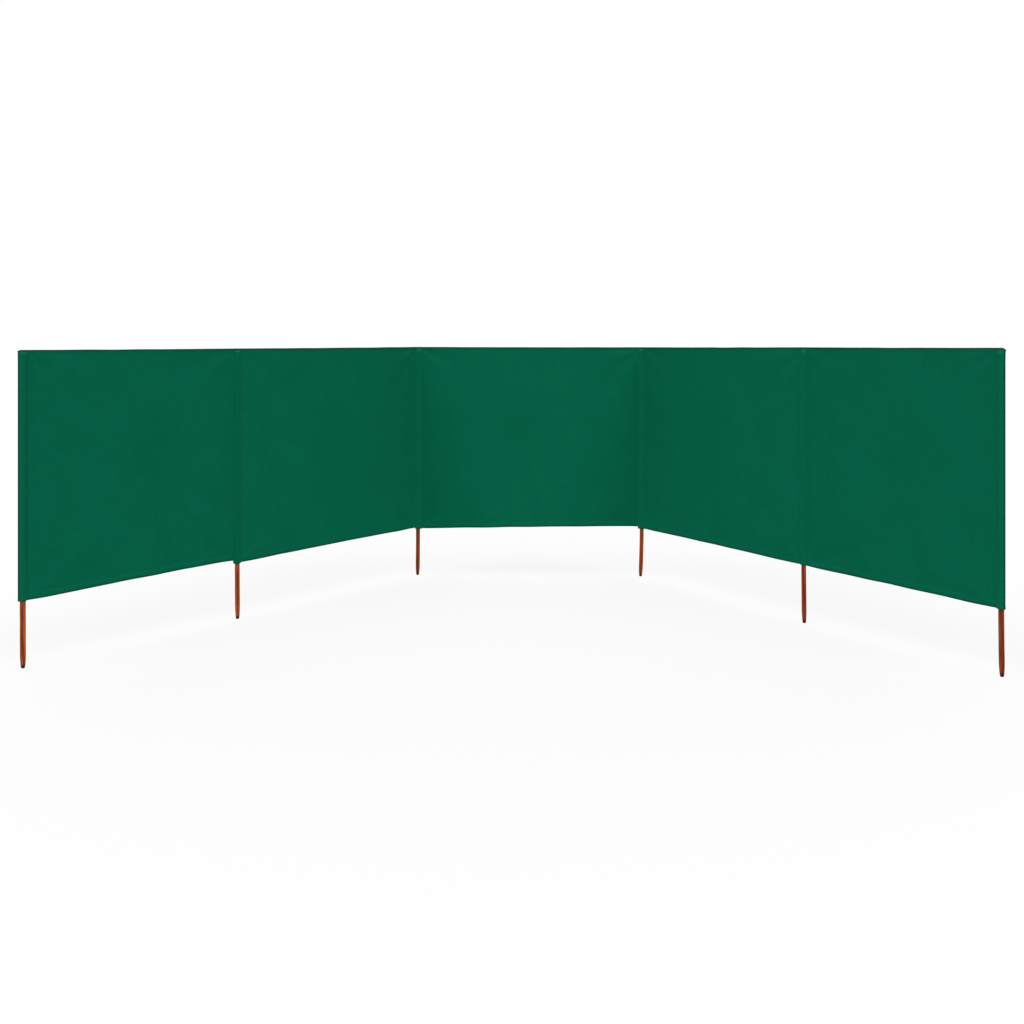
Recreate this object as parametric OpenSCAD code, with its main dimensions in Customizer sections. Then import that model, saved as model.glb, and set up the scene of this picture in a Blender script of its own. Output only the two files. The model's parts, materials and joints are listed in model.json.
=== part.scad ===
// Five-bay beach windbreak: a long strip of cloth with a closed-top pocket for each of six poles.
// It stands as an open-fronted shelter: a back bay, and two arms of a side bay and an end bay.
// Millimetres. +Z is up and +X runs along the back bay, from its left pole to its right pole.
// The origin is the centre of the flat tip of the back left pole.

/* [Layout] */
// Distance between the poles of the back bay and of each side bay
inner_bay = 1180; // [600:10:2000]
// Distance between the poles of each end bay
end_bay = 970; // [500:10:1800]
// Turn of the cloth from straight at each back pole, in degrees
back_fold = 56; // [0:1:70]
// Further turn of the cloth from straight at each side pole, in degrees
side_fold = -2; // [-20:1:60]
// How far each panel bows outward between its poles
bow = 8; // [2:1:40]

/* [Poles] */
// Diameter of a pole
pole_d = 21; // [16:0.5:32]
// Length of a pole from its tip to its top
pole_len = 1184; // [900:1:1800]
// Length of the taper at the tip
tip_len = 46; // [20:1:120]
// Diameter where the taper meets the rounded nose
tip_d = 14; // [9:0.5:15]
// Height of the nose below the taper
nose_h = 2.5; // [1:0.5:6]
// Bevel round the top of a pole
top_bevel = 1.5; // [0.5:0.5:4]

/* [Cloth] */
// Height of the cloth from the pockets' open ends to its top edge
cloth_h = 950; // [500:5:1100]
// Thickness of a panel, thicker than the woven cloth it stands for
panel_t = 2; // [1:0.2:4]
// Extra thickness of a hem on each face of its panel
hem_rise = 0.5; // [0.2:0.1:2]
// Height of the top hem
top_hem_h = 14; // [6:1:40]
// Height of the bottom hem
bottom_hem_h = 26; // [6:1:60]
// How far the bottom hem sits above the pockets' open ends
hem_lift = 4; // [0:0.5:20]

/* [Pockets] */
// Clearance between a pole and its pocket, all round
pocket_slack = 0.3; // [0.1:0.1:3]
// Thickness of a pocket's wall
pocket_t = 1.5; // [0.8:0.1:4]
// Height of the flat sewn end that closes a pocket over its pole's top
closure_h = 16; // [6:1:40]
// Clearance between a pocket and the panel that swings about it
swing_gap = 0.4; // [0.2:0.1:3]

/* [Hidden] */
$fn = 64;
POLES = 6;
BAYS = POLES - 1;
BACK_BAY = 2;
BOW_STEPS = 24;
CUT = 1;
WOOD = "#8E4626";
CLOTH = "#065C44";
HEM = "#04503B";
pocket_bore_r = pole_d / 2 + pocket_slack;
pocket_r = pocket_bore_r + pocket_t;
cloth_top = pole_len + closure_h;
cloth_bottom = cloth_top - cloth_h;
hem_bottom = cloth_bottom + hem_lift;
panel_bottom = hem_bottom + bottom_hem_h;
panel_top = cloth_top - top_hem_h;
hem_t = panel_t + 2 * hem_rise;
// Length and compass heading of each bay, from the left end to the right end
bay_len = [end_bay, inner_bay, inner_bay, inner_bay, end_bay];
arm_turn = back_fold + side_fold;
heading = [arm_turn, back_fold, 0, -back_fold, -arm_turn];
// Pole places, walked bay by bay from the left end and moved so that the back left pole is at the origin
function walk(i) = i == 0 ? [0, 0] : walk(i - 1) + bay_len[i - 1] * [cos(heading[i - 1]), sin(heading[i - 1])];
pole_at = [for (i = [0:BAYS]) walk(i) - walk(BACK_BAY)];
// Kinds of node, and how many of each there are
KINDS = [["pole", POLES], ["pocket", POLES], ["panel", BAYS], ["top_hem", BAYS], ["bottom_hem", BAYS]];

// A tapered, blunt-nosed wooden pole
module pole(i) {
    color(WOOD)
    translate(pole_at[i]) {
        cylinder(h = nose_h, d1 = tip_d - 2 * nose_h, d2 = tip_d);
        translate([0, 0, nose_h])
            cylinder(h = tip_len - nose_h, d1 = tip_d, d2 = pole_d);
        translate([0, 0, tip_len])
            cylinder(h = pole_len - top_bevel - tip_len, d = pole_d);
        translate([0, 0, pole_len - top_bevel])
            cylinder(h = top_bevel, d1 = pole_d, d2 = pole_d - 2 * top_bevel);
    }
}

// Heading of the cloth where it crosses a pole: midway between its bays', or the one bay's at an end pole
function seam_heading(i) = (heading[max(i - 1, 0)] + heading[min(i, BAYS - 1)]) / 2;

// A cloth tube round a pole, open at the bottom and closed over the pole's top by a flat seam
module pocket(i) {
    sleeve_h = cloth_h - closure_h;
    color(CLOTH)
    translate(concat(pole_at[i], cloth_bottom)) {
        difference() {
            cylinder(h = sleeve_h + pocket_t, r = pocket_r);
            translate([0, 0, -CUT])
                cylinder(h = sleeve_h + CUT, r = pocket_bore_r);
        }
        rotate(seam_heading(i))
        translate([-pocket_bore_r, -hem_t / 2, sleeve_h + pocket_t / 2])
            cube([2 * pocket_bore_r, hem_t, closure_h - pocket_t / 2]);
    }
}

// Plan of a bay's cloth: a strip of thickness t that bows outward as a squared half sine wave, flat at its ends
module bowed_strip(length, t) {
    middle = [for (k = [0:BOW_STEPS]) let (s = k / BOW_STEPS) [s * length, bow * pow(sin(180 * s), 2)]];
    outer = [for (p = middle) p + [0, t / 2]];
    inner = [for (k = [BOW_STEPS:-1:0]) middle[k] - [0, t / 2]];
    polygon(concat(outer, inner));
}

// Extra clearance at one end of a bay: none at a pocket the bay is sewn to, a gap at one it swings about
function start_gap(bay) = bay > BACK_BAY ? swing_gap : 0;
function end_gap(bay) = bay < BACK_BAY ? swing_gap : 0;

// A band of a bay's cloth from height z to z + h, cut back at both ends to the pockets' round faces
module band(bay, z, h, t) {
    translate(concat(pole_at[bay], z))
    rotate(heading[bay])
    difference() {
        linear_extrude(h) bowed_strip(bay_len[bay], t);
        translate([0, 0, -CUT])
            cylinder(h = h + 2 * CUT, r = pocket_r + start_gap(bay));
        translate([bay_len[bay], 0, -CUT])
            cylinder(h = h + 2 * CUT, r = pocket_r + end_gap(bay));
    }
}

module panel(bay) {
    color(CLOTH) band(bay, panel_bottom, panel_top - panel_bottom, panel_t);
}

module top_hem(bay) {
    color(HEM) band(bay, panel_top, top_hem_h, hem_t);
}

module bottom_hem(bay) {
    color(HEM) band(bay, hem_bottom, bottom_hem_h, hem_t);
}

for (i = [1:POLES]) {
    pole(i - 1);
    pocket(i - 1);
}
for (i = [1:BAYS]) {
    panel(i - 1);
    top_hem(i - 1);
    bottom_hem(i - 1);
}
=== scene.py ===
# Beach windbreak: a strip of green cloth on six wooden poles, each in a sewn pocket closed over its top.
# Metres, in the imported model's frame: +Z is up, +X runs along the back bay, and the open front is on -Y.
import json
import math

import bpy
import numpy as np
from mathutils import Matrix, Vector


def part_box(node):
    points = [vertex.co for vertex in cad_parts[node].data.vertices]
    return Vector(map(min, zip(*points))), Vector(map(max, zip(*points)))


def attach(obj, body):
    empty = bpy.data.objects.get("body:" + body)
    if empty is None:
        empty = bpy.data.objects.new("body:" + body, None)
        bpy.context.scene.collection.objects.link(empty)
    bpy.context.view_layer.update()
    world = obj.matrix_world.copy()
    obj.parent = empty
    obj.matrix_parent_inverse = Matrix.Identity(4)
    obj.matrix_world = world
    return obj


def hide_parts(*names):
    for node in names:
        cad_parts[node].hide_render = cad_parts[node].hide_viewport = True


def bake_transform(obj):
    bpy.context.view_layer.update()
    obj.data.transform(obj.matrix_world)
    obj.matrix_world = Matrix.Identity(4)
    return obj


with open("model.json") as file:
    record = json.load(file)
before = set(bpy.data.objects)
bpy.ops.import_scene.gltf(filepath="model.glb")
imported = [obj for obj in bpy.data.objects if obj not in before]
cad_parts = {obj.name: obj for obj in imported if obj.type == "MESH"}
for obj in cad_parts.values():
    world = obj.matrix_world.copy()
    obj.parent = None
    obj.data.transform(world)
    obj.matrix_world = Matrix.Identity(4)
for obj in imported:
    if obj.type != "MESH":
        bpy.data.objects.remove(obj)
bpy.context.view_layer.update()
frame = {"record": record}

MM = 0.001

# ---------------------------------------------------------------- places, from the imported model
record = frame["record"]
mount = {each["name"]: each for each in record["mounts"]}
body_of = {node: body for body, nodes in record["behaviour"]["bodies"].items() for node in nodes}
BAYS = sum(node.startswith("panel_") for node in body_of)
POLES = BAYS + 1
LAST = POLES - 1
pole_at = np.array([mount[f"pole_{pole + 1}_tip"]["pos_m"][:2] for pole in range(POLES)])
pole_r = mount["pole_1_foot"]["dims"]["r_mm"] * MM
pole_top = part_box("pole_1")[1].z
rim_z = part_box("pocket_1")[0].z
cloth_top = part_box("pocket_1")[1].z
hem_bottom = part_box("bottom_hem_1")[0].z
bottom_hem_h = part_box("bottom_hem_1")[1].z - hem_bottom
top_hem_h = cloth_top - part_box("top_hem_1")[0].z
bay_len = np.linalg.norm(np.diff(pole_at, axis=0), axis=1)
along = np.diff(pole_at, axis=0) / bay_len[:, None]
outward = np.stack([-along[:, 1], along[:, 0]], 1)
bay_body = [body_of[f"panel_{bay + 1}"] for bay in range(BAYS)]

# ---------------------------------------------------------------- sizes of the sewing
cloth_t = 0.6 * MM          # one layer of the panel cloth
layer_t = 0.8 * MM          # one layer of a pocket
weave_pitch = 0.8 * MM      # from one thread of the cloth to the next
seam_reach = 16.5 * MM      # where a pocket's two layers meet, from the pole's axis
margin_reach = 20.5 * MM    # where the sewn margin beyond that ends
pocket_clear = 0.35 * MM    # between a pole and its pocket
fin_h = 7 * MM              # height of the flat sewn end above a closed pocket
rim_hem_h = 12 * MM         # turned edge round a pocket's open end
rim_stitch_h = 10 * MM      # the row of stitches that holds it, above the open end
hem_half = 1.15 * MM        # half the thickness of a hem
turned_share = 0.985        # where a hem's turned edge begins to end, as a share of its height from the fold
stitch_pitch = 6 * MM
stitch_len = 4.1 * MM
thread_r = 0.3 * MM
bow = 8 * MM                # how far a panel's middle stands outward of the line between its poles
painted_shade_edge = 9 * MM        # width of the band of painted shade along a folded edge, darkest at the fold

# Where the strip is a little out of true, pole by pole and bay by bay, as on any sewn and much-used strip
rim_shift = np.array([4, -3, -5, 1, 4, -1]) * MM
top_shift = np.array([-2, 0.5, 5, 3.5, 6, 6.5]) * MM
hem_start = np.array([-4, -6, -8, -1, -3]) * MM
hem_end = np.array([12, -1, 11, -2, -7]) * MM
foot_lean = np.array([1, 1.5, -2, -6.5, 2.4, 3]) * MM

# The two end pockets: how far the outer fold is from the pole's axis, and how far its top corner hangs down
# and is pulled out to a point
fold_reach = {0: 19 * MM, LAST: 17.2 * MM}
corner_droop = {0: 3.5 * MM, LAST: 8 * MM}
corner_point = {0: 1 * MM, LAST: 3.5 * MM}

# Heights on the pockets: the open ends, the top edges, where the two layers begin to draw together over the
# pole's top, and where they have met
pocket_rim = rim_z + rim_shift
pocket_top = cloth_top + top_shift
closing_z = pole_top - MM
pocket_closed = pocket_top - fin_h

# ---------------------------------------------------------------- sizes of the poles
taper_h = 46 * MM           # height of the tapered foot
tip_r = 7.8 * MM            # radius that it tapers to
nose_h = 5 * MM             # height of the rounded nose
worn_h = 9 * MM             # height that the tip is worn down to, and drawn darkest up to
bevel = 1.5 * MM            # round the top

# ---------------------------------------------------------------- staining and painted shade
# On cloth, 0 is the cloth's own colour and 1 the darkest painted shade.
# On a pole, 0 is the usual shade, above 0 darker, below 0 lighter.
# Painted shade on bays 1, 3 and 5, which evens them with bays 2 and 4, lit less beside the corners.
bay_painted_shade = [0.06, 0, 0.05, 0, 0.06]
# Painted shade on pockets 1, 2 and 6, which darkens them a little against the bays beside them.
pocket_painted_shade = [0.14, 0.12, 0, 0, 0, 0.05]
# Each pole drawn darker or lighter: its staining uneven from pole to pole, and for pole 3, in the back
# corner, painted shade.
pole_tone_and_painted_shade = [-0.4, -0.6, 0.6, -0.2, -0.5, 0.4]

# The number of a piece's main finish, and of the thread that it is sewn with
MAIN = 0
THREAD = 1


# ---------------------------------------------------------------- waves
def ease(t):
    """0 below 0, 1 above 1, and three t squared less two t cubed between."""
    t = np.clip(t, 0, 1)
    return t * t * (3 - 2 * t)


def fading(distance, reach):
    """1 at no distance, and divided by e for each further reach."""
    return np.exp(-distance / reach)


def wander(place, wavelength, seed):
    """Irregular wave from -1 to 1: the mean of three sines near that wavelength, phased by the seed."""
    phases = np.random.default_rng(seed).uniform(0, 2 * np.pi, 3)
    return sum(np.sin(2 * np.pi * place / (wavelength * k) + p) for k, p in zip((0.76, 1, 1.31), phases)) / 3


def crumple(x, z, wavelength, seed):
    """Irregular relief from -1 to 1: the mean of five plane waves near that wavelength, whose directions,
    phases and exact lengths are drawn with the seed."""
    draw = np.random.default_rng(seed).uniform(size=(5, 3))
    total = 0
    for turn, phase, stretch in draw:
        direction = np.pi * turn
        ahead = (x * np.cos(direction) + z * np.sin(direction)) / (wavelength * (0.75 + 0.6 * stretch))
        total = total + np.sin(2 * np.pi * (ahead + phase))
    return total / len(draw)


# ---------------------------------------------------------------- meshes from rings of points
def unit(vectors):
    """The vectors, each divided by its own length."""
    return vectors / np.maximum(np.linalg.norm(vectors, axis=-1), 1e-9)[..., None]


def tube_faces(rings):
    """Faces of closed tubes, from a grid of points: tube, station along it, point round it. Four neighbours
    make a face. Each end is closed by faces between the first half of its ring and the second half, taken
    backwards."""
    index = np.arange(rings[..., 0].size).reshape(rings.shape[:3])
    here = index[:, :-1]
    ahead = index[:, 1:]
    sides = np.stack([here, ahead, np.roll(ahead, -1, 2), np.roll(here, -1, 2)], -1)
    half = rings.shape[2] // 2
    first = index[..., :half]
    second = index[..., ::-1][..., :half]
    start = np.stack([first[:, 0, :-1], first[:, 0, 1:], second[:, 0, 1:], second[:, 0, :-1]], -1)
    end = np.stack([first[:, -1, 1:], first[:, -1, :-1], second[:, -1, :-1], second[:, -1, 1:]], -1)
    return np.concatenate([sides.reshape(-1, 4), start.reshape(-1, 4), end.reshape(-1, 4)])


def outward_faces(points, faces):
    """The faces, turned over if the volume they close, a sum of tetrahedra from the origin, is below 0."""
    a, b, c, d = (points[faces[:, k]] for k in range(4))
    volume = np.sum(a * np.cross(b, c)) + np.sum(a * np.cross(c, d))
    return faces if volume > 0 else faces[:, ::-1]


def flat_map_of(across, up):
    """Map of a grid of points in metres of cloth: the distance across it and the distance up it."""
    return np.stack(np.broadcast_arrays(across, up), -1)[None]


def make_piece(name, finishes, parts):
    """One smooth mesh object at the origin. A part is its rings of points, their map in metres of cloth,
    the number of its finish, and how much darker it is drawn by painted shade and staining, as one number or
    as one for each point."""
    points = []
    faces = []
    cloth_map = []
    finish_of = []
    shade_and_stain_per_point = []
    first = 0
    for rings, flat_map, finish, stain in parts:
        part_points = rings.reshape(-1, 3)
        part_faces = outward_faces(part_points, tube_faces(rings))
        points.append(part_points)
        faces.append(part_faces + first)
        cloth_map.append(flat_map.reshape(-1, 2))
        finish_of.append(np.full(len(part_faces), finish))
        shade_and_stain_per_point.append(np.broadcast_to(stain, rings.shape[:3]).ravel())
        first += len(part_points)
    faces = np.concatenate(faces)
    mesh = bpy.data.meshes.new(name)
    mesh.from_pydata(np.concatenate(points).tolist(), [], faces.tolist())
    mesh.polygons.foreach_set("use_smooth", np.ones(len(faces), bool))
    mesh.polygons.foreach_set("material_index", np.concatenate(finish_of).astype(np.int32))
    layer = mesh.uv_layers.new(name="cloth_metres")
    layer.data.foreach_set("uv", np.concatenate(cloth_map)[faces.ravel()].astype(np.float32).ravel())
    attribute = mesh.attributes.new("stain", "FLOAT", "POINT")
    attribute.data.foreach_set("value", np.concatenate(shade_and_stain_per_point).astype(np.float32))
    for finish in finishes:
        mesh.materials.append(finish)
    mesh.update()
    piece = bpy.data.objects.new(name, mesh)
    bpy.context.scene.collection.objects.link(piece)
    return piece


def stitch_row(line, face):
    """A row of stitches, as a part for make_piece, along a line of points on a surface that faces the way
    of the face vectors. Each stitch is a short thread of four rings, thin at both ends. It stands up by its
    radius times 1.1 less 1.5 times the square of its place, 0 in the middle and 1 at the ends."""
    walked = np.concatenate([[0], np.cumsum(np.linalg.norm(np.diff(line, axis=0), axis=1))])
    middle = (np.arange(int(walked[-1] / stitch_pitch)) + 0.5) * stitch_pitch

    def at(values, place):
        """The values at a distance walked along the line, in proportion between its points."""
        return np.stack([np.interp(place, walked, values[:, k]) for k in range(3)], -1)

    start = at(line, middle - stitch_len / 2)
    end = at(line, middle + stitch_len / 2)
    up = unit(at(face, middle))
    across = unit(np.cross(up, end - start))
    place = np.array([-1, -0.6, 0.6, 1])[None, :, None, None]
    width = thread_r * np.array([0.35, 1, 1, 0.35])[None, :, None, None]
    turn = (np.arange(4) * np.pi / 2 + np.pi / 4)[None, None, :, None]
    centre = ((start + end) / 2)[:, None, None] + ((end - start) / 2)[:, None, None] * place
    rise = up[:, None, None] * (thread_r * (1.1 - 1.5 * place ** 2) + width * np.sin(turn))
    rings = centre + rise + across[:, None, None] * (width * np.cos(turn))
    return rings, np.zeros(rings.shape[:3] + (2,)), THREAD, 0


# ---------------------------------------------------------------- the cloth of a bay
def corner_creases(bay, x, z):
    """Creases that fan out from a bay's four corners: a sine of the angle at the corner, times the distance
    from it as a share of the reach, times e to the power of one less that share."""
    reach = 110 * MM
    creases_per_radian = 9
    total = 0
    corners = [(end, edge) for end in (0, bay_len[bay]) for edge in (hem_bottom, cloth_top)]
    for corner, (end, edge) in enumerate(corners):
        distance = np.hypot(x - end, z - edge) / reach
        fan = np.arctan2(np.abs(z - edge), np.abs(x - end))
        wave = np.sin(creases_per_radian * fan + 1.7 * corner + bay)
        total = total + wave * distance * np.exp(1 - distance)
    return total


def cloth_offset(bay, x, z):
    """How far a bay's cloth stands outward of the line between its poles: a squared sine bow, broad and
    short relief, creases that fan out from each corner, puckers beside the seams and hems, and wavy edges.
    All of it but the bow dies away at the pockets."""
    seed = 40 * bay
    from_seam = np.minimum(x, bay_len[bay] - x) - seam_reach
    from_bottom = z - hem_bottom
    from_top = cloth_top - z
    free = ease(from_seam / (140 * MM))
    bowed = bow * np.sin(np.pi * np.clip(x / bay_len[bay], 0, 1)) ** 2

    broad = 2.2 * MM * crumple(x, z, 600 * MM, seed + 1)
    short = 0.9 * MM * crumple(x, z, 220 * MM, seed + 2)
    creases = 1.1 * MM * ease(from_seam / (50 * MM)) * corner_creases(bay, x, z)

    beside_seam = ease(from_seam / (6 * MM)) * fading(from_seam, 22 * MM)
    seam_puckers = 0.6 * MM * beside_seam * wander(z + 0.5 * from_seam, 44 * MM, seed + 3)
    beside_bottom_hem = fading(np.abs(from_bottom - bottom_hem_h), 18 * MM)
    beside_top_hem = fading(np.abs(from_top - top_hem_h), 18 * MM)
    hem_puckers = 0.45 * MM * beside_bottom_hem * wander(x, 36 * MM, seed + 4)
    hem_puckers = hem_puckers + 0.4 * MM * beside_top_hem * wander(x, 33 * MM, seed + 5)

    wavy_edges = 1.9 * MM * fading(from_bottom, 120 * MM) * wander(x, 230 * MM, seed + 6)
    wavy_edges = wavy_edges + 1.2 * MM * fading(from_top, 100 * MM) * wander(x, 270 * MM, seed + 7)
    return bowed + free * (broad + short + hem_puckers + wavy_edges) + creases + seam_puckers


def cloth_lift(bay, x, z):
    """How far a bay's cloth is above its nominal height. Along the bottom it is a straight line from the
    bay's first end to its last, drawn half way to the open ends of the pockets beside them. Along the top
    it is a straight line with a slight sag. Both wander a little, and between them it is in proportion to
    the height."""
    top_sag = 0.8 * MM
    share = np.clip(x / bay_len[bay], 0, 1)
    bottom = hem_start[bay] + (hem_end[bay] - hem_start[bay]) * share
    for pole, away in ((bay, x), (bay + 1, bay_len[bay] - x)):
        bottom = bottom + 0.5 * fading(away, 50 * MM) * (rim_shift[pole] - bottom)
    bottom = bottom + 0.8 * MM * wander(x, 310 * MM, 40 * bay + 8)
    top = top_shift[bay] + (top_shift[bay + 1] - top_shift[bay]) * share - top_sag * np.sin(np.pi * share)
    top = top + 0.6 * MM * np.sin(np.pi * share) * wander(x, 260 * MM, 40 * bay + 9)
    height = (z - hem_bottom) / (cloth_top - hem_bottom)
    return bottom + (top - bottom) * height


def cloth_point(bay, x, z, out):
    """Point of a bay's cloth, x along it from its first pole and z up, moved outward by its offset and a
    further distance, out."""
    x, z, out = np.broadcast_arrays(x, z, out)
    moved = (cloth_offset(bay, x, z) + out)[..., None]
    plan = pole_at[bay] + along[bay] * x[..., None] + outward[bay] * moved
    return np.concatenate([plan, (z + cloth_lift(bay, x, z))[..., None]], -1)


def bay_stations(bay, fine, coarse):
    """Places along a bay, from its first seam to its last, closer together in a strip beside each seam."""
    strip = 80 * MM
    start = seam_reach + 0.5 * MM
    end = bay_len[bay] - seam_reach - 0.5 * MM
    first = np.arange(start, start + strip, fine)
    middle = np.arange(start + strip, end - strip, coarse)
    return np.concatenate([first, middle, end - np.arange(strip, -fine / 2, -fine)])


def cloth_panel(bay):
    """One layer of cloth: its inner face going up and its outer face coming down make each ring, and the
    rings follow one another along the bay. Its bottom and top edges are hidden inside the hems."""
    strip = 50 * MM
    x = bay_stations(bay, fine=4 * MM, coarse=11 * MM)
    low = hem_bottom + 0.6 * bottom_hem_h
    high = cloth_top - 0.5 * top_hem_h
    z = np.concatenate([np.arange(low, low + strip, 4 * MM), np.arange(low + strip, high - strip, 9 * MM),
                        high - np.arange(strip, -MM, -4 * MM)])
    up_and_down = np.concatenate([z, z[::-1]])
    out = np.repeat([-cloth_t / 2, cloth_t / 2], len(z))
    rings = cloth_point(bay, x[:, None], up_and_down[None], out[None])[None]
    flat_map = flat_map_of(x[:, None], up_and_down[None])
    return make_piece(f"cloth_bay_{bay + 1}", [bay_cloth], [(rings, flat_map, MAIN, bay_painted_shade[bay])])


# ---------------------------------------------------------------- the hems
def hem_half_thickness(share, stitched, outer):
    """Half thickness of a hem at a share of its height from the folded edge: a fold round as a quarter
    circle, a half sine swelling, a pinch at the stitches, and then the turned edge, which is a step down to
    the panel's own thickness on the outer face and fades out on the inner one."""
    fold_share = 0.07
    round_fold = np.sqrt(np.clip(1 - (1 - np.clip(share / fold_share, 0, 1)) ** 2, 0, 1))
    swelling = 1 + 0.25 * np.sin(np.pi * np.clip(share / stitched, 0, 1))
    pinch = 0.4 * np.exp(-((share - stitched) / 0.06) ** 2)
    step_start = turned_share if outer else stitched
    step = 1 - ease((share - step_start) / (1 - step_start))
    return cloth_t * 0.5 * (1 - step) + hem_half * round_fold * (swelling - pinch) * step


def hem_stitch_line(bay, z, stitched, outer):
    """The line of a hem's stitches on one face, and the way that face looks."""
    x = np.arange(margin_reach, bay_len[bay] - margin_reach, 5 * MM)
    side = 1 if outer else -1
    half = hem_half_thickness(np.array(stitched), stitched, outer)
    line = cloth_point(bay, x, np.array(z), side * half)
    face = np.append(side * outward[bay], 0) * np.ones((len(x), 1))
    return line, face


def hem(bay, name, edge, direction, height, stitched):
    """A turned and stitched edge: a closed profile that stands either side of the panel's cloth, carried
    along the bay, with a slanting ripple where the two layers were drawn against each other. The direction
    is 1 for a hem above its fold and -1 for one below it, and stitched is the share of its height where its
    stitches run."""
    ripple_pitch = 27 * MM
    x = bay_stations(bay, fine=4 * MM, coarse=5.5 * MM)
    share = np.array([0.002, 0.02, 0.07, 0.2, 0.4, 0.6, 0.76, 0.83, stitched, 0.93, turned_share, 1])
    loop = np.concatenate([share, share[::-1]])
    inner_half = hem_half_thickness(share, stitched, outer=False)
    outer_half = hem_half_thickness(share, stitched, outer=True)
    half = np.concatenate([-inner_half, outer_half[::-1]])
    z = edge + direction * loop * height
    slant = (x[:, None] + 1.3 * z) / ripple_pitch
    ripple = np.sin(2 * np.pi * slant + 2 * wander(x, 300 * MM, 50 + bay)[:, None])
    roping = 0.22 * MM * np.sin(np.pi * np.clip(loop / stitched, 0, 1)) * np.sign(half) * ripple
    rings = cloth_point(bay, x[:, None], z[None], half[None] + roping)[None]
    flat_map = flat_map_of(x[:, None], z[None] + 0.5 * MM)
    # Painted shade in a band along the hem's folded edge, darkest at the fold.
    painted_shade = ease(1 - loop * height / painted_shade_edge)
    parts = [(rings, flat_map, MAIN, painted_shade)]
    for outer in (False, True):
        line, face = hem_stitch_line(bay, edge + direction * stitched * height, stitched, outer)
        parts.append(stitch_row(line, face))
    piece = make_piece(f"sewn_{name}_{bay + 1}", [hem_cloth, thread], parts)
    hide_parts(f"{name}_{bay + 1}")
    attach(piece, bay_body[bay])
    return piece


# ---------------------------------------------------------------- the pockets
def pocket_path(pole, side, radius):
    """Plan of one layer of a pocket, from the pole's axis, for each row's radius: the flat margin, a
    straight run that touches the circle of that radius, the circle, and the same again on the other side.
    On the straight run the distance is the radius over the cosine of the angle to go to the touching point.
    With it comes the angle from each point to the nearer seam."""
    arriving = along[max(pole - 1, 0)]
    leaving = along[min(pole, BAYS - 1)]
    start = math.atan2(arriving[1], arriving[0]) + math.pi
    fold = start - math.pi - math.atan2(leaving[1], leaving[0])
    sweep = side * (math.pi - side * fold)
    share = np.linspace(0, 1, 30)
    to_seam = np.minimum(share, 1 - share) * abs(sweep)
    touching = np.arccos(radius / seam_reach)
    distance = radius / np.cos(np.clip(touching - to_seam, 0, None))
    spread = np.array([1, 0.96, 0.5, 0.25, 0.1])
    margins = []
    for end_pole in (0, LAST):
        reach = fold_reach[pole] if pole == end_pole else margin_reach
        margins.append(seam_reach + spread * (reach - seam_reach) + 0 * radius)
    distance = np.concatenate([margins[0], distance, margins[1][:, ::-1]], 1)
    angle = start + sweep * np.concatenate([0 * spread, share, 0 * spread + 1])
    plan = distance[..., None] * np.stack([np.cos(angle), np.sin(angle)], -1)
    return plan, np.concatenate([0 * spread, to_seam, 0 * spread])


def pocket_heights(pole):
    """Heights of a pocket's rows of points: down its inside from the closed end to the rim, and then up its
    outside to the top edge, close together at the rim's turned edge and the closed end."""
    rim = pocket_rim[pole]
    closed = pocket_closed[pole]
    inner_z = np.array([closed - MM, (closing_z + closed) / 2, closing_z, 0.75 * closing_z, rim + 80 * MM,
                        rim + 30 * MM, rim + 8 * MM, rim + 0.6 * MM, rim])
    turned_edge = rim + np.array([0.5, 1.4, 4, 8, 9.4, 10, 10.6, 11.6, 12.4, 13.4, 16]) * MM
    round_pole = np.arange(rim + 22 * MM, closing_z - 4 * MM, 6.5 * MM)
    drawing_in = np.linspace(closing_z, closed, 9)
    flat_end = pocket_top[pole] - np.array([5.6, 4, 2.4, 1.1, 0.4, 0]) * MM
    return inner_z, np.concatenate([turned_edge, round_pole, drawing_in, flat_end])


def pocket_plan(pole, z, outside, drawn):
    """Plan of a pocket at each row, and the angle to the nearer seam: the front layer's path and then the
    back layer's, taken backwards, both drawn towards their mean where the pocket closes, and smoothed twice
    by a quarter of each neighbour. The outside is slack by an amount that wanders, and the rim flares."""
    slack = MM * (0.28 + 0.28 * wander(z, 190 * MM, 300 + pole) + 0.16 * wander(z, 61 * MM, 310 + pole))
    flare = 0.7 * MM * fading(np.clip(z - pocket_rim[pole], 0, None), 20 * MM)
    radius = (pole_r + pocket_clear + outside * slack + flare)[:, None]
    front, front_seam = pocket_path(pole, 1, radius)
    back, back_seam = pocket_path(pole, -1, radius)
    mean = (front + back) / 2
    front = front + drawn[..., None] * (mean - front)
    back = back + drawn[..., None] * (mean - back)
    plan = np.concatenate([front, back[:, ::-1]], 1)
    for _ in range(2):
        plan = 0.5 * plan + 0.25 * (np.roll(plan, 1, 1) + np.roll(plan, -1, 1))
    return plan, np.concatenate([front_seam, back_seam[::-1]])[None]


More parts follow.
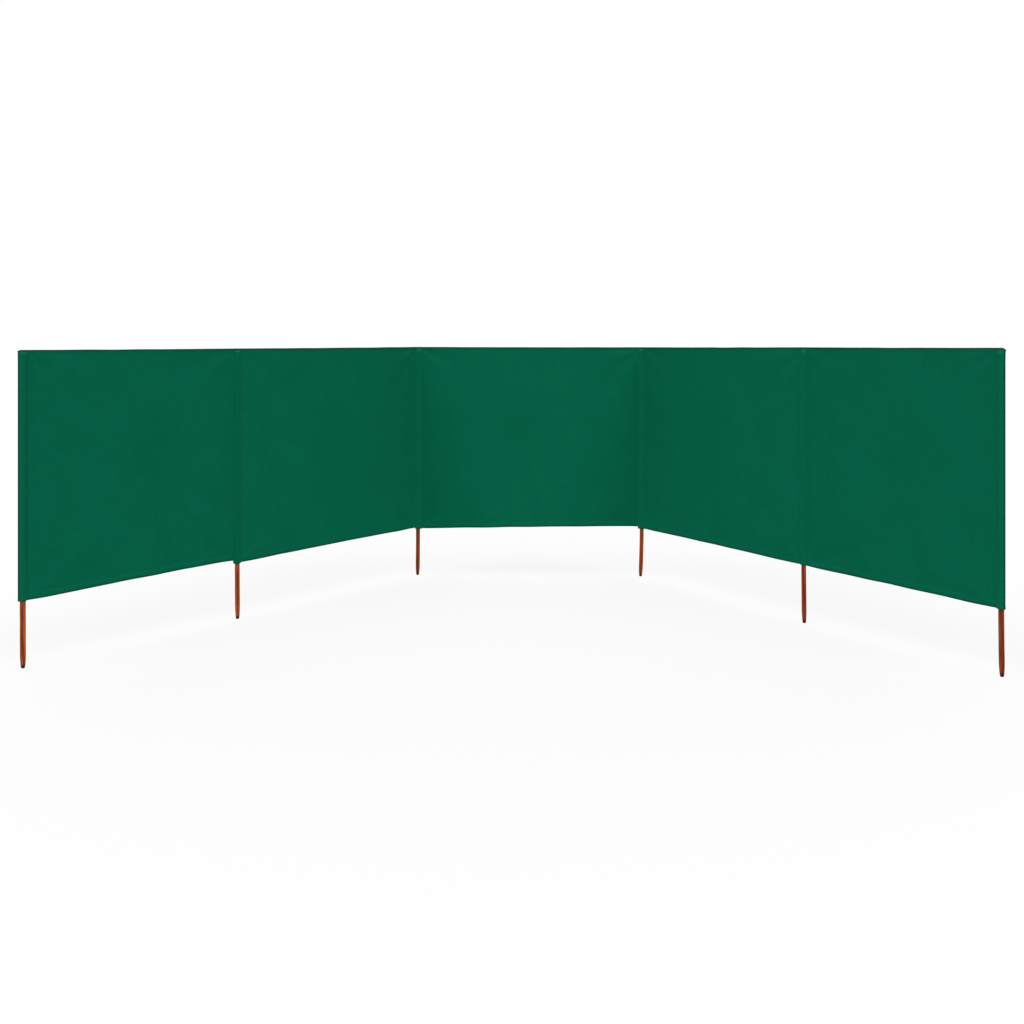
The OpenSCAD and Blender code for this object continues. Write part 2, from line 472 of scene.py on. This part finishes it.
def pocket_thickness(pole, z, to_seam, drawn):
    """Thickness of a pocket's wall: one layer, more in the sewn margins and where it closes, more again
    where the bays' hems are sewn in, and more at the rim's turned edge, which has a groove at its stitches.
    An outer fold has no margin. The wall thins at the top edge."""
    hem_step = 3 * MM
    half = to_seam.shape[1] // 2
    column = np.arange(2 * half)
    near_start = (np.minimum(column, column[::-1]) < half / 2)[None]
    folded = near_start & (pole == 0) | ~near_start & (pole == LAST)
    at_margin = 1 - ease(to_seam / 0.35)
    sewn_margin = np.maximum(at_margin, drawn) * (1 - folded * at_margin)

    above_low = z - hem_bottom - rim_shift[pole]
    over_bottom_hem = ease(above_low / hem_step) * (1 - ease((above_low - bottom_hem_h) / hem_step))
    over_top_hem = ease((z - pocket_top[pole] + top_hem_h) / hem_step)
    over_hem = (over_bottom_hem + over_top_hem)[:, None]

    from_rim = np.clip(z - pocket_rim[pole], 0, None)[:, None]
    turned_rim = 0.7 * MM * (1 - ease((from_rim - rim_hem_h) / (1.2 * MM)))
    groove = 0.35 * MM * np.exp(-((from_rim - rim_stitch_h) / MM) ** 2)
    thickness = layer_t + (cloth_t / 2 + 0.8 * MM * over_hem) * sewn_margin + turned_rim - groove
    thinned = 0.75 * (1 - ease((pocket_top[pole] - z) / (1.3 * MM)))
    return thickness * (1 - thinned)[:, None]


def pocket_relief(pole, z, to_seam, drawn):
    """How far a pocket's outside stands out of its plan: its thickness, a little less at the ends of its
    two layers, with puckers where it closes and drags beside the seams below that."""
    half = to_seam.shape[1] // 2
    thinner = np.ones(2 * half)
    thinner[[0, half - 1, half, -1]] = 0.8
    pucker = 0.35 * MM * drawn * np.sin(7 * to_seam + pole) * ease(to_seam / 0.3)
    pucker = np.concatenate([pucker[:, :half], -pucker[:, half:]], 1)
    drags = 0.25 * MM * (1 - ease(to_seam / 0.7)) * ease(to_seam / 0.1)
    drags = drags * (1 + wander(z[:, None] + 0.01 * to_seam, 47 * MM, 320 + pole))
    return pocket_thickness(pole, z, to_seam, drawn) * thinner + pucker + drags * (1 - drawn)


def pocket_surface(pole, inner_z, outer_z):
    """Rows of points of a pocket at those heights, with the way each point faces and its painted shade. A
    row is the pocket's plan there, moved out along its own normal: by the relief on the outside, by about
    half of it at the rim, and by next to nothing on the inside. The rim waves up and down. At an end of the
    strip, the outer top corner hangs down and is pulled out to a point. The painted shade is a band along
    the top edge, the rim and an end pocket's outer fold, and never less than the pocket's own painted shade."""
    inside_shift = 0.04 * MM
    z = np.concatenate([inner_z, outer_z])
    outside = np.concatenate([0 * inner_z, 0 * outer_z + 1])
    outside[len(inner_z) - 1] = 0.5
    drawn = ease((z - closing_z) / (pocket_closed[pole] - closing_z))[:, None]
    plan, to_seam = pocket_plan(pole, z, outside, drawn)
    tangent = np.roll(plan, -1, 1) - np.roll(plan, 1, 1)
    normal = unit(np.stack([tangent[..., 1], -tangent[..., 0]], -1))
    outside = outside[:, None]
    shift = outside * pocket_relief(pole, z, to_seam, drawn) + (1 - outside) * inside_shift
    plan = plan + normal * shift[..., None]

    from_rim = np.clip(z - pocket_rim[pole], 0, None)[:, None]
    from_top = (pocket_top[pole] - z)[:, None]
    turn = np.linspace(0, 2 * np.pi, plan.shape[1], endpoint=False)[None]
    level = z[:, None] + 0.9 * MM * fading(from_rim, 30 * MM) * np.sin(turn + pole) * np.cos(2 * turn)
    # Painted shade in bands along the top edge and the rim, and on an end pocket along its outer fold.
    painted_shade = np.maximum(ease(1 - from_top / painted_shade_edge), ease(1 - from_rim / (0.7 * painted_shade_edge)))
    if pole in fold_reach:
        away = -along[0] if pole == 0 else along[-1]
        beyond = plan @ away
        droop = corner_droop[pole] * ease(beyond / (1.1 * fold_reach[pole])) ** 2
        level = level - droop * ease(1 - from_top / (50 * MM))
        point = corner_point[pole] * ease(beyond / fold_reach[pole]) ** 3 * fading(from_top, 8 * MM)
        plan = plan + point[..., None] * away
        painted_shade = np.maximum(painted_shade, ease(1 - (fold_reach[pole] - beyond) / (0.8 * painted_shade_edge)))
    painted_shade = np.broadcast_to(np.maximum(painted_shade, pocket_painted_shade[pole]), plan.shape[:2])
    points = np.concatenate([plan + pole_at[pole], level[..., None]], -1)
    face = np.concatenate([normal, 0 * normal[..., :1]], -1)
    return points, face, painted_shade


def pocket_stitches(pole, z, points, face):
    """Rows of stitches on a pocket's outside: down both faces of each sewn margin, which an outer fold
    hasn't, and then on both layers round the rim's turned edge and across the closed top."""
    around = points.shape[1]
    half = around // 2
    rim = pocket_rim[pole]
    closed = pocket_closed[pole]
    sewn = (z > rim + 3 * MM) & (z < closed + MM)
    first_margin = [2, around - 3] if pole > 0 else []
    last_margin = [half - 3, half + 2] if pole < LAST else []
    rows = [stitch_row(points[sewn, column], face[sewn, column]) for column in first_margin + last_margin]
    for height in (rim + rim_stitch_h, closed + 1.5 * MM):
        row = np.argmin(abs(z - height))
        for layer in (slice(3, half - 3), slice(half + 3, around - 3)):
            rows.append(stitch_row(points[row, layer], face[row, layer]))
    return rows


def pocket(pole):
    """A pocket with its stitches. Its cloth is mapped by the distance walked round each layer and by the
    height. An end pocket is attached to the body that model.json gives it; one where two bays meet is
    attached to no body."""
    inner_z, outer_z = pocket_heights(pole)
    points, face, painted_shade = pocket_surface(pole, inner_z, outer_z)
    half = points.shape[1] // 2
    step = np.linalg.norm(np.diff(points[:, :half], axis=1), axis=2)
    walked = np.concatenate([np.zeros((len(points), 1)), np.cumsum(step, axis=1)], 1)
    flat_map = flat_map_of(np.concatenate([walked, walked[:, ::-1]], 1), points[..., 2])
    inner_rows = len(inner_z)
    parts = [(points[None], flat_map, MAIN, painted_shade[None])]
    parts += pocket_stitches(pole, outer_z, points[inner_rows:], face[inner_rows:])
    piece = make_piece(f"pole_pocket_{pole + 1}", [pocket_cloth, thread], parts)
    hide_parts(f"pocket_{pole + 1}")
    if 0 < pole < LAST:
        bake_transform(piece)
    else:
        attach(piece, body_of[f"pocket_{pole + 1}"])
    return piece


# ---------------------------------------------------------------- the poles
def pole_radius(z):
    """Radius of a pole at a height: a straight taper, less a bell-shaped hollow where it meets the full
    radius and less a step where the tip is worn, times a rounded nose, and less a bevel at the top. The
    nose is the 2.6th root of one less the 2.6th power of the share of its height still to go."""
    nose_power = 2.6
    nose = (1 - np.clip(1 - z / nose_h, 0, 1) ** nose_power) ** (1 / nose_power)
    taper = tip_r + (pole_r - tip_r) * np.clip(z / taper_h, 0, 1)
    hollow = 0.25 * MM * np.exp(-((z - taper_h) / (6 * MM)) ** 2)
    worn_step = 0.8 * MM * (1 - ease((z - worn_h) / (3 * MM)))
    radius = np.maximum((taper - hollow - worn_step) * nose, 0.3 * MM)
    return radius - np.clip(z - pole_top + bevel, 0, None)


def wooden_pole(pole):
    """A turned pole: rings of its radius, a little out of round and wavering along it. Below the cloth its
    foot is bent aside by its lean, times the share of the way down to the power 1.6."""
    z = np.concatenate([nose_h * (1 - np.cos(np.linspace(0, np.pi / 2, 9))), np.linspace(7 * MM, 14 * MM, 8),
                        np.linspace(17 * MM, 60 * MM, 12), np.linspace(70 * MM, pole_top - bevel, 44),
                        [pole_top - 0.4 * bevel, pole_top]])
    turn = np.linspace(0, 2 * np.pi, 36, endpoint=False)
    waver = 0.09 * MM * wander(z, 210 * MM, 400 + pole)[:, None] + 0.07 * MM * np.cos(2 * turn + pole)[None]
    radius = pole_radius(z)[:, None] + waver * ease(z / (20 * MM))[:, None]
    bent = (foot_lean[pole] * np.clip(1 - z / rim_z, 0, 1) ** 1.6)[:, None]
    x = pole_at[pole, 0] + (radius * np.cos(turn) + bent)
    y = pole_at[pole, 1] + radius * np.sin(turn)
    rings = np.stack(np.broadcast_arrays(x, y, z[:, None]), -1)[None]
    flat_map = flat_map_of(turn * pole_r, z[:, None])
    parts = [(rings, flat_map, MAIN, pole_tone_and_painted_shade[pole])]
    piece = make_piece(f"wooden_pole_{pole + 1}", [stained_wood], parts)
    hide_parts(f"pole_{pole + 1}")
    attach(piece, body_of[f"pole_{pole + 1}"])
    return piece


# ---------------------------------------------------------------- finishes
def new_finish(name, roughness, specular):
    """A material with a Principled shader, and its node tree."""
    material = bpy.data.materials.new(name)
    material.use_nodes = True
    shader = material.node_tree.nodes["Principled BSDF"]
    shader.inputs["Roughness"].default_value = roughness
    shader.inputs["Specular IOR Level"].default_value = specular
    return material, material.node_tree, shader


def add_node(tree, kind, sockets=(), **settings):
    """A node with these settings. A socket's value is a number, a colour, or another node's output."""
    node = tree.nodes.new(kind)
    for key, value in settings.items():
        setattr(node, key, value)
    for key, value in dict(sockets).items():
        if isinstance(value, bpy.types.NodeSocket):
            tree.links.new(value, node.inputs[key])
        else:
            node.inputs[key].default_value = value
    return node


def math_node(tree, operation, *values):
    """The result of an operation on two or three values."""
    return add_node(tree, "ShaderNodeMath", dict(enumerate(values)), operation=operation).outputs[0]


def weighted_sum(tree, start, layers):
    """The start, plus each layer times its weight."""
    total = start
    for layer, weight in layers:
        total = math_node(tree, "MULTIPLY_ADD", layer, weight, total)
    return total


def streaks(tree, vector, stretch, scale, detail=3.0):
    """Noise from 0 to 1, with the vector multiplied by the stretch on each axis first."""
    mapping = add_node(tree, "ShaderNodeMapping", {"Vector": vector, "Scale": stretch})
    noise = {"Vector": mapping.outputs[0], "Scale": scale, "Detail": detail, "Roughness": 0.6}
    return add_node(tree, "ShaderNodeTexNoise", noise).outputs["Fac"]


def shade_of(colour, factor):
    """The colour times the factor, as red, green, blue and alpha."""
    return [part * factor for part in colour] + [1]


def mixed_colour(tree, share, first, second, blend="MIX"):
    """The first colour, with a share of the second blended into it."""
    sockets = {0: share, 6: first, 7: second}
    return add_node(tree, "ShaderNodeMix", sockets, data_type="RGBA", blend_type=blend).outputs[2]


def shade_and_stain_of(tree):
    """How much darker make_piece drew each point: painted shade on cloth, and on a pole its tone, partly
    painted shade.
    """
    return add_node(tree, "ShaderNodeAttribute", attribute_name="stain").outputs["Fac"]


def woven_finish(name, colour):
    """Plain-woven cloth. Each thread is a half-round ridge, and a checker says which of the two threads is
    on top. Long thin noise along both threads makes slubs, and broad and cloudy noise makes the dye a
    little uneven. The piece's painted shade, where it is 1, multiplies the dye by a grey."""
    painted_shade_grey = (0.36, 0.36, 0.36, 1)
    material, tree, shader = new_finish(name, roughness=0.88, specular=0.02)
    flat = add_node(tree, "ShaderNodeUVMap", uv_map="cloth_metres").outputs[0]
    ridges = {"Vector": flat, "Scale": math.pi / 10 / weave_pitch}
    across = add_node(tree, "ShaderNodeTexWave", ridges, bands_direction="X")
    up = add_node(tree, "ShaderNodeTexWave", ridges, bands_direction="Y")
    on_top = add_node(tree, "ShaderNodeTexChecker", {"Vector": flat, "Scale": 1 / weave_pitch})
    threads = {0: on_top.outputs["Fac"], 2: across.outputs["Fac"], 3: up.outputs["Fac"]}
    weave = add_node(tree, "ShaderNodeMix", threads).outputs[0]
    slub_across = streaks(tree, flat, stretch=(8, 500, 1), scale=1.4)
    slub_up = streaks(tree, flat, stretch=(500, 8, 1), scale=1.4)
    slub = math_node(tree, "ADD", slub_across, slub_up)
    broad = streaks(tree, flat, stretch=(1, 1, 1), scale=4.5)
    cloudy = streaks(tree, flat, stretch=(1, 1, 1), scale=40, detail=5)
    tone = weighted_sum(tree, -0.705, [(weave, 0.34), (slub, 0.8), (broad, 0.35), (cloudy, 0.25)])
    dye = mixed_colour(tree, tone, shade_of(colour, 0.72), shade_of(colour, 1.25))
    # Painted shade: the dye is multiplied towards grey by each point's painted shade.
    dye_with_painted_shade = mixed_colour(tree, shade_and_stain_of(tree), dye, painted_shade_grey, blend="MULTIPLY")
    tree.links.new(dye_with_painted_shade, shader.inputs["Base Color"])
    relief = weighted_sum(tree, weave, [(slub, 0.7)])
    bump = add_node(tree, "ShaderNodeBump", {"Height": relief, "Strength": 0.5, "Distance": 0.12 * MM})
    tree.links.new(bump.outputs[0], shader.inputs["Normal"])
    return material


def thread_finish(name, colour):
    """Sewing thread: a smooth, slightly shiny twist, uneven in shade."""
    material, tree, shader = new_finish(name, roughness=0.6, specular=0.15)
    place = add_node(tree, "ShaderNodeTexCoord").outputs["Object"]
    uneven = streaks(tree, place, stretch=(1, 1, 1), scale=900)
    dye = mixed_colour(tree, uneven, shade_of(colour, 0.7), shade_of(colour, 1.3))
    tree.links.new(dye, shader.inputs["Base Color"])
    return material


def wood_finish(name, dark, middle, light):
    """Stained softwood: figure and grain as noise drawn out along the pole, fine pores, a slow change of
    shade and the pole's own tone, added up and looked up on a ramp from dark to light. The pole's tone is
    partly its staining and, for pole 3 in the back corner, painted shade. The worn tip is drawn darker still
    below about 19 mm. The grain changes the gloss, and the pores stand in the surface."""
    material, tree, shader = new_finish(name, roughness=0.5, specular=0.1)
    place = add_node(tree, "ShaderNodeTexCoord").outputs["Object"]
    figure = streaks(tree, place, stretch=(1, 1, 0.035), scale=105, detail=2)
    grain = streaks(tree, place, stretch=(1, 1, 0.05), scale=260, detail=6)
    pores = streaks(tree, place, stretch=(1, 1, 0.03), scale=1500)
    slow = streaks(tree, place, stretch=(1, 1, 0.6), scale=9)
    layers = [(figure, 0.6), (grain, 0.35), (slow, 0.1), (pores, 0.15), (shade_and_stain_of(tree), -0.1)]
    ramp = add_node(tree, "ShaderNodeValToRGB", {0: weighted_sum(tree, 0, layers)})
    first, last = ramp.color_ramp.elements
    first.position = 0.49
    first.color = shade_of(dark, 1)
    last.position = 0.73
    last.color = shade_of(light, 1)
    centre = ramp.color_ramp.elements.new(0.6)
    centre.color = shade_of(middle, 1)
    height = add_node(tree, "ShaderNodeSeparateXYZ", {0: place}).outputs[2]
    # The tip is drawn darker below 19 mm, darkest below 9 mm.
    dark_tip_heights = {0: height, 1: worn_h, 2: worn_h + 10 * MM, 3: 1.0, 4: 0.0}
    dark_tip = add_node(tree, "ShaderNodeMapRange", dark_tip_heights).outputs[0]
    colour = mixed_colour(tree, dark_tip, ramp.outputs[0], shade_of(dark, 0.3))
    tree.links.new(colour, shader.inputs["Base Color"])
    gloss = add_node(tree, "ShaderNodeMapRange", {0: grain, 3: 0.42, 4: 0.62}).outputs[0]
    tree.links.new(gloss, shader.inputs["Roughness"])
    bump = add_node(tree, "ShaderNodeBump", {"Height": pores, "Strength": 0.35, "Distance": 0.15 * MM})
    tree.links.new(bump.outputs[0], shader.inputs["Normal"])
    return material


bay_cloth = woven_finish("green_woven_cloth", (0.0014, 0.1125, 0.0598))
pocket_cloth = woven_finish("green_pocket_cloth", (0.0014, 0.1115, 0.0593))
hem_cloth = woven_finish("green_hem_cloth", (0.0013, 0.1095, 0.0578))
thread = thread_finish("green_thread", (0.008, 0.17, 0.1))
stained_wood = wood_finish("stained_wood", dark=(0.105, 0.012, 0.0015), middle=(0.225, 0.036, 0.007),
                           light=(0.42, 0.10, 0.028))


# ---------------------------------------------------------------- the windbreak
for bay in range(BAYS):
    panel = cloth_panel(bay)
    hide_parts(f"panel_{bay + 1}")
    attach(panel, bay_body[bay])
    hems = [hem(bay, "bottom_hem", hem_bottom, 1, bottom_hem_h, stitched=0.88),
            hem(bay, "top_hem", cloth_top, -1, top_hem_h, stitched=0.84)]
for pole in range(POLES):
    pocket(pole)
    wooden_pole(pole)


# ---------------------------------------------------------------- floor, light and camera
def seen_by_the_eye(tree):
    """1 where a camera, glossy or transmitted ray arrives, and 0 for every other ray."""
    rays = add_node(tree, "ShaderNodeLightPath")
    seen = math_node(tree, "MAXIMUM", rays.outputs["Is Camera Ray"], rays.outputs["Is Glossy Ray"])
    return math_node(tree, "MAXIMUM", seen, rays.outputs["Is Transmission Ray"])


def show_mixed(tree, output_kind, share, usual, white):
    """The usual shader, with that share of the white one mixed in, on a new output of the tree."""
    both = add_node(tree, "ShaderNodeMixShader", {0: share, 1: usual.outputs[0], 2: white.outputs[0]})
    output = add_node(tree, output_kind)
    tree.links.new(both.outputs[0], output.inputs["Surface"])


def pale_floor():
    """A round floor, pale near the windbreak and plain white to the eye further out, so that it has no
    edge. The share of white goes from 0.85 at 1.5 m from its middle to 1 at 3.5 m."""
    middle = (0.59, -0.9, 0)
    bpy.ops.mesh.primitive_circle_add(vertices=96, radius=40, fill_type="NGON", location=middle)
    floor = bpy.context.object
    floor.name = "floor"
    material = bpy.data.materials.new("pale_floor")
    material.use_nodes = True
    tree = material.node_tree
    tree.nodes.clear()
    place = add_node(tree, "ShaderNodeTexCoord").outputs["Object"]
    away = add_node(tree, "ShaderNodeVectorMath", {0: place}, operation="LENGTH").outputs["Value"]
    white_share = add_node(tree, "ShaderNodeMapRange", {0: away, 1: 1.5, 2: 3.5, 3: 0.85, 4: 1.0},
                           interpolation_type="SMOOTHSTEP").outputs[0]
    paint = add_node(tree, "ShaderNodeBsdfDiffuse", {"Color": (0.5, 0.5, 0.5, 1)})
    white = add_node(tree, "ShaderNodeEmission", {"Color": (1, 1, 1, 1), "Strength": 1.0})
    share = math_node(tree, "MULTIPLY", seen_by_the_eye(tree), white_share)
    show_mixed(tree, "ShaderNodeOutputMaterial", share, paint, white)
    floor.data.materials.append(material)


def soft_light(sky, suns):
    """An even sky of that strength, plain white to the eye, and wide, weak suns. Each sun has a turn from
    the front, a height, a strength and a width, with its angles in degrees. It comes from both sides alike,
    so that the windbreak's two arms are lit alike."""
    world = bpy.data.worlds.new("white_studio")
    world.use_nodes = True
    bpy.context.scene.world = world
    tree = world.node_tree
    tree.nodes.clear()
    light = add_node(tree, "ShaderNodeBackground", {"Color": (1, 1, 1, 1), "Strength": sky})
    white = add_node(tree, "ShaderNodeBackground", {"Color": (1, 1, 1, 1), "Strength": 1.0})
    show_mixed(tree, "ShaderNodeOutputWorld", seen_by_the_eye(tree), light, white)
    for sun_turn, height, strength, width in suns:
        for turn in (-sun_turn, sun_turn):
            data = bpy.data.lights.new(f"soft_sun_{turn}", "SUN")
            data.energy = strength
            data.angle = math.radians(width)
            lamp = bpy.data.objects.new(data.name, data)
            lamp.rotation_euler = (math.radians(90 - height), 0, math.radians(turn))
            bpy.context.scene.collection.objects.link(lamp)


def eye_level_camera():
    """A level camera before the open side, a little above the cloth's top edge, turned 1.7 degrees to its
    left."""
    data = bpy.data.cameras.new("camera")
    data.lens = 39.85
    data.sensor_width = 36
    data.shift_x = -0.0394
    data.shift_y = -0.164
    camera = bpy.data.objects.new("camera", data)
    camera.location = (0.892, -5.966, 1.22)
    camera.rotation_euler = (math.pi / 2, 0, math.radians(1.746))
    bpy.context.scene.collection.objects.link(camera)
    bpy.context.scene.camera = camera


pale_floor()
soft_light(sky=0.29, suns=[(56, 56, 1.72, 28), (12, 42, 0.43, 50), (140, 42, 0.88, 40)])
eye_level_camera()
bpy.context.scene.view_settings.view_transform = "Standard"

bpy.context.view_layer.update()
